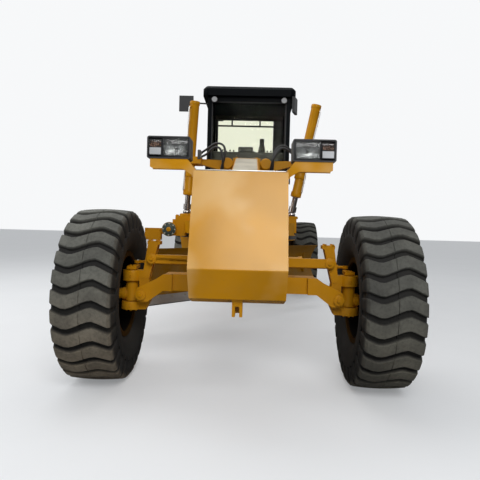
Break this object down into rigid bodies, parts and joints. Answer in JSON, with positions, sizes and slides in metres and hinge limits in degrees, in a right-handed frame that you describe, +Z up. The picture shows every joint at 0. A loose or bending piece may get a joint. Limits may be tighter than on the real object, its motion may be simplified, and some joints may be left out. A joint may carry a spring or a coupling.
{
  "type": "motor grader",
  "caption": "Articulated motor grader with leaning steered front wheels, a tilting drawbar, a turning circle and a side-shifting blade.",
  "frame": {"origin": "on the floor under the middle of the overall box, between the axles", "axes": "+Z up, the nose towards -Y, +X to the left side of the machine as its operator sees it"},
  "size_m": [2.6181, 8.9188, 3.42],
  "materials": {
    "body_paint": "satin",
    "rim_paint": "satin",
    "dark_paint": "satin",
    "tyre": "matte",
    "chrome": "polished",
    "steel": "worn",
    "iron": "matte",
    "black_trim": "matte",
    "lens": "ribbed",
    "glass": "tinted",
    "seat_cloth": "matte"
  },
  "bodies": {
    "rear": {"rear_frame": "body_paint", "tandem": "body_paint", "cab_shell": "body_paint", "cab_roof": "dark_paint", "cab_glass": "glass", "seat": "seat_cloth", "cab_controls": "black_trim", "mirrors": "black_trim", "hood": "body_paint", "engine": "iron", "exhaust": "black_trim"},
    "front": {"front_frame": "body_paint", "front_box": "body_paint", "lamp_housings": "black_trim", "lamp_lenses": "lens", "front_axle": "body_paint"},
    "articulation_barrel_left": {"articulation_barrel_left": "body_paint"},
    "articulation_rod_left": {"articulation_rod_left": "chrome"},
    "articulation_barrel_right": {"articulation_barrel_right": "body_paint"},
    "articulation_rod_right": {"articulation_rod_right": "chrome"},
    "lean_bracket_left": {"lean_bracket_left": "body_paint"},
    "lean_bracket_right": {"lean_bracket_right": "body_paint"},
    "lean_bar": {"lean_bar": "body_paint"},
    "lean_barrel": {"lean_barrel": "body_paint"},
    "lean_rod": {"lean_rod": "chrome"},
    "knuckle_left": {"knuckle_left": "body_paint"},
    "knuckle_right": {"knuckle_right": "body_paint"},
    "tie_rod_joint": {"tie_rod_joint": "steel"},
    "tie_rod": {"tie_rod": "steel"},
    "wheel_front_left": {"tyre_front_left": "tyre", "rim_front_left": "rim_paint"},
    "wheel_middle_left": {"tyre_middle_left": "tyre", "rim_middle_left": "rim_paint"},
    "wheel_rear_left": {"tyre_rear_left": "tyre", "rim_rear_left": "rim_paint"},
    "wheel_front_right": {"tyre_front_right": "tyre", "rim_front_right": "rim_paint"},
    "wheel_middle_right": {"tyre_middle_right": "tyre", "rim_middle_right": "rim_paint"},
    "wheel_rear_right": {"tyre_rear_right": "tyre", "rim_rear_right": "rim_paint"},
    "drawbar": {"drawbar": "body_paint"},
    "lift_yoke_left": {"lift_yoke_left": "body_paint"},
    "lift_barrel_left": {"lift_barrel_left": "body_paint"},
    "lift_rod_left": {"lift_rod_left": "chrome"},
    "lift_yoke_right": {"lift_yoke_right": "body_paint"},
    "lift_barrel_right": {"lift_barrel_right": "body_paint"},
    "lift_rod_right": {"lift_rod_right": "chrome"},
    "circle": {"circle": "body_paint"},
    "blade_carrier": {"blade_carrier": "body_paint", "side_shift_barrel": "body_paint"},
    "tip_barrel": {"tip_barrel": "body_paint"},
    "tip_rod": {"tip_rod": "chrome"},
    "moldboard": {"moldboard": "body_paint", "cutting_edge": "steel", "side_shift_rod": "chrome"},
    "cab_door_left": {"cab_door_left": "body_paint"},
    "cab_door_right": {"cab_door_right": "body_paint"},
    "hood_door_left": {"hood_door_left": "body_paint"},
    "hood_door_right": {"hood_door_right": "body_paint"}
  },
  "joints": [
    {"name": "articulation", "type": "hinge", "parent": "rear", "child": "front", "pos_m": [0, -0.07, 1.18], "axis": [0, 0, 1], "range_deg": [-25, 25]},
    {"name": "articulation_barrel_left", "type": "hinge", "parent": "rear", "child": "articulation_barrel_left", "pos_m": [0.52, 0.53, 1.29], "axis": [0, 0, 1], "range_deg": [-3.8, 3.8]},
    {"name": "articulation_rod_left", "type": "slide", "parent": "articulation_barrel_left", "child": "articulation_rod_left", "axis": [-0.3017, -0.9534, 0], "range_m": [-0.14043, 0.14043]},
    {"name": "articulation_barrel_right", "type": "hinge", "parent": "rear", "child": "articulation_barrel_right", "pos_m": [-0.52, 0.53, 1.29], "axis": [0, 0, 1], "range_deg": [-3.8, 3.8]},
    {"name": "articulation_rod_right", "type": "slide", "parent": "articulation_barrel_right", "child": "articulation_rod_right", "axis": [0.3017, -0.9534, 0], "range_m": [-0.14043, 0.14043]},
    {"name": "lean_left", "type": "hinge", "parent": "front", "child": "lean_bracket_left", "pos_m": [0.77, -3.51, 0.685], "axis": [0, 1, 0], "range_deg": [-17, 17]},
    {"name": "lean_right", "type": "hinge", "parent": "front", "child": "lean_bracket_right", "pos_m": [-0.77, -3.51, 0.685], "axis": [0, 1, 0], "range_deg": [-17, 17]},
    {"name": "lean_bar", "type": "hinge", "parent": "lean_bracket_left", "child": "lean_bar", "pos_m": [0.7, -3.51, 0.965], "axis": [0, 1, 0], "range_deg": [-20, 20]},
    {"name": "lean_barrel", "type": "hinge", "parent": "front", "child": "lean_barrel", "pos_m": [0.15, -3.51, 0.965], "axis": [0, 1, 0], "range_deg": [-3.29, 3.29]},
    {"name": "lean_rod", "type": "slide", "parent": "lean_barrel", "child": "lean_rod", "axis": [1, 0, 0], "range_m": [-0.08698, 0.08698]},
    {"name": "steer_left", "type": "hinge", "parent": "lean_bracket_left", "child": "knuckle_left", "pos_m": [0.87, -3.51, 0.675], "axis": [0, 0, 1], "range_deg": [-42, 42]},
    {"name": "steer_right", "type": "hinge", "parent": "lean_bracket_right", "child": "knuckle_right", "pos_m": [-0.87, -3.51, 0.675], "axis": [0, 0, 1], "range_deg": [-42, 42]},
    {"name": "tie_rod_joint", "type": "hinge", "parent": "knuckle_right", "child": "tie_rod_joint", "pos_m": [-0.87, -3.34, 0.921], "axis": [0, 0, 1], "range_deg": [-42, 42]},
    {"name": "tie_rod", "type": "hinge", "parent": "tie_rod_joint", "child": "tie_rod", "pos_m": [-0.87, -3.34, 0.921], "axis": [0, 1, 0], "range_deg": [-20, 20]},
    {"name": "wheel_front_left", "type": "hinge", "parent": "knuckle_left", "child": "wheel_front_left", "pos_m": [1.075, -3.51, 0.675], "axis": [1, 0, 0], "continuous": true},
    {"name": "wheel_middle_left", "type": "hinge", "parent": "rear", "child": "wheel_middle_left", "pos_m": [1.075, 1.92, 0.675], "axis": [1, 0, 0], "continuous": true},
    {"name": "wheel_rear_left", "type": "hinge", "parent": "rear", "child": "wheel_rear_left", "pos_m": [1.075, 3.46, 0.675], "axis": [1, 0, 0], "continuous": true},
    {"name": "wheel_front_right", "type": "hinge", "parent": "knuckle_right", "child": "wheel_front_right", "pos_m": [-1.075, -3.51, 0.675], "axis": [1, 0, 0], "continuous": true},
    {"name": "wheel_middle_right", "type": "hinge", "parent": "rear", "child": "wheel_middle_right", "pos_m": [-1.075, 1.92, 0.675], "axis": [1, 0, 0], "continuous": true},
    {"name": "wheel_rear_right", "type": "hinge", "parent": "rear", "child": "wheel_rear_right", "pos_m": [-1.075, 3.46, 0.675], "axis": [1, 0, 0], "continuous": true},
    {"name": "drawbar_pitch", "type": "hinge", "parent": "front", "child": "drawbar", "pos_m": [0, -3.12, 1.08], "axis": [1, 0, 0], "range_deg": [-22, 0]},
    {"name": "lift_yoke_left", "type": "hinge", "parent": "front", "child": "lift_yoke_left", "pos_m": [0.735, -1.01, 2.075], "axis": [0, 1, 0], "range_deg": [-8.18, 8.18]},
    {"name": "lift_barrel_left", "type": "hinge", "parent": "lift_yoke_left", "child": "lift_barrel_left", "pos_m": [0.735, -1.01, 2.075], "axis": [1, 0, 0], "range_deg": [-1.46, 1.46]},
    {"name": "lift_rod_left", "type": "slide", "parent": "lift_barrel_left", "child": "lift_rod_left", "axis": [-0.1954, 0, -0.9807], "range_m": [-0.005, 0.79971]},
    {"name": "lift_yoke_right", "type": "hinge", "parent": "front", "child": "lift_yoke_right", "pos_m": [-0.735, -1.01, 2.075], "axis": [0, 1, 0], "range_deg": [-2.89, 2.89]},
    {"name": "lift_barrel_right", "type": "hinge", "parent": "lift_yoke_right", "child": "lift_barrel_right", "pos_m": [-0.735, -1.01, 2.075], "axis": [1, 0, 0], "range_deg": [-1.46, 1.46]},
    {"name": "lift_rod_right", "type": "slide", "parent": "lift_barrel_right", "child": "lift_rod_right", "axis": [-0.0513, 0, -0.9987], "range_m": [-0.005, 0.81421]},
    {"name": "circle_turn", "type": "hinge", "parent": "drawbar", "child": "circle", "pos_m": [-0.08393, -1.01167, 1.15], "axis": [0, 0, 1], "continuous": true},
    {"name": "blade_tip", "type": "hinge", "parent": "circle", "child": "blade_carrier", "pos_m": [-0.28464, -0.84326, 0.52], "axis": [0.6428, 0.766, 0], "range_deg": [-5, 22]},
    {"name": "tip_barrel", "type": "hinge", "parent": "circle", "child": "tip_barrel", "pos_m": [-0.48228, -0.67742, 1.0297], "axis": [0.6428, 0.766, 0], "range_deg": [-7.79, 2.54]},
    {"name": "tip_rod", "type": "slide", "parent": "tip_barrel", "child": "tip_rod", "axis": [0.6177, -0.5183, -0.5914], "range_m": [-0.02878, 0.11301]},
    {"name": "side_shift", "type": "slide", "parent": "blade_carrier", "child": "moldboard", "axis": [0.6428, 0.766, 0], "range_m": [-0.42, 0.42]},
    {"name": "cab_door_left", "type": "hinge", "parent": "rear", "child": "cab_door_left", "pos_m": [0.6623, 1.25, 1.43], "axis": [0, 0, 1], "range_deg": [0, 80]},
    {"name": "cab_door_right", "type": "hinge", "parent": "rear", "child": "cab_door_right", "pos_m": [-0.6623, 1.25, 1.43], "axis": [0, 0, 1], "range_deg": [-80, 0]},
    {"name": "hood_door_left", "type": "hinge", "parent": "rear", "child": "hood_door_left", "pos_m": [0.4923, 2.49, 2.168], "axis": [0, 1, 0], "range_deg": [-80, 0]},
    {"name": "hood_door_right", "type": "hinge", "parent": "rear", "child": "hood_door_right", "pos_m": [-0.4923, 2.49, 2.168], "axis": [0, 1, 0], "range_deg": [0, 80]}
  ],
  "couplings": [
    {"joint": "articulation_barrel_left", "follows": "articulation", "ratio": 0.11203},
    {"joint": "articulation_rod_left", "follows": "articulation", "m_per_rad": -0.31039},
    {"joint": "articulation_barrel_right", "follows": "articulation", "ratio": 0.11203},
    {"joint": "articulation_rod_right", "follows": "articulation", "m_per_rad": 0.31039},
    {"joint": "lean_right", "follows": "lean_left", "ratio": 1},
    {"joint": "lean_bar", "follows": "lean_left", "ratio": -1.1},
    {"joint": "lean_barrel", "follows": "lean_left", "ratio": -0.13446},
    {"joint": "lean_rod", "follows": "lean_left", "m_per_rad": 0.27629},
    {"joint": "steer_right", "follows": "steer_left", "ratio": 1},
    {"joint": "tie_rod_joint", "follows": "steer_left", "ratio": -1},
    {"joint": "tie_rod", "follows": "lean_left", "ratio": -0.885},
    {"joint": "lift_yoke_left", "follows": "drawbar_pitch", "ratio": 0.32644},
    {"joint": "lift_barrel_left", "follows": "drawbar_pitch", "ratio": -0.021092},
    {"joint": "lift_rod_left", "follows": "drawbar_pitch", "m_per_rad": -2.0697},
    {"joint": "lift_yoke_right", "follows": "drawbar_pitch", "ratio": 0.08601},
    {"joint": "lift_barrel_right", "follows": "drawbar_pitch", "ratio": -0.020946},
    {"joint": "lift_rod_right", "follows": "drawbar_pitch", "m_per_rad": -2.1075},
    {"joint": "tip_barrel", "follows": "blade_tip", "ratio": -0.30849},
    {"joint": "tip_rod", "follows": "blade_tip", "m_per_rad": 0.2839}
  ]
}
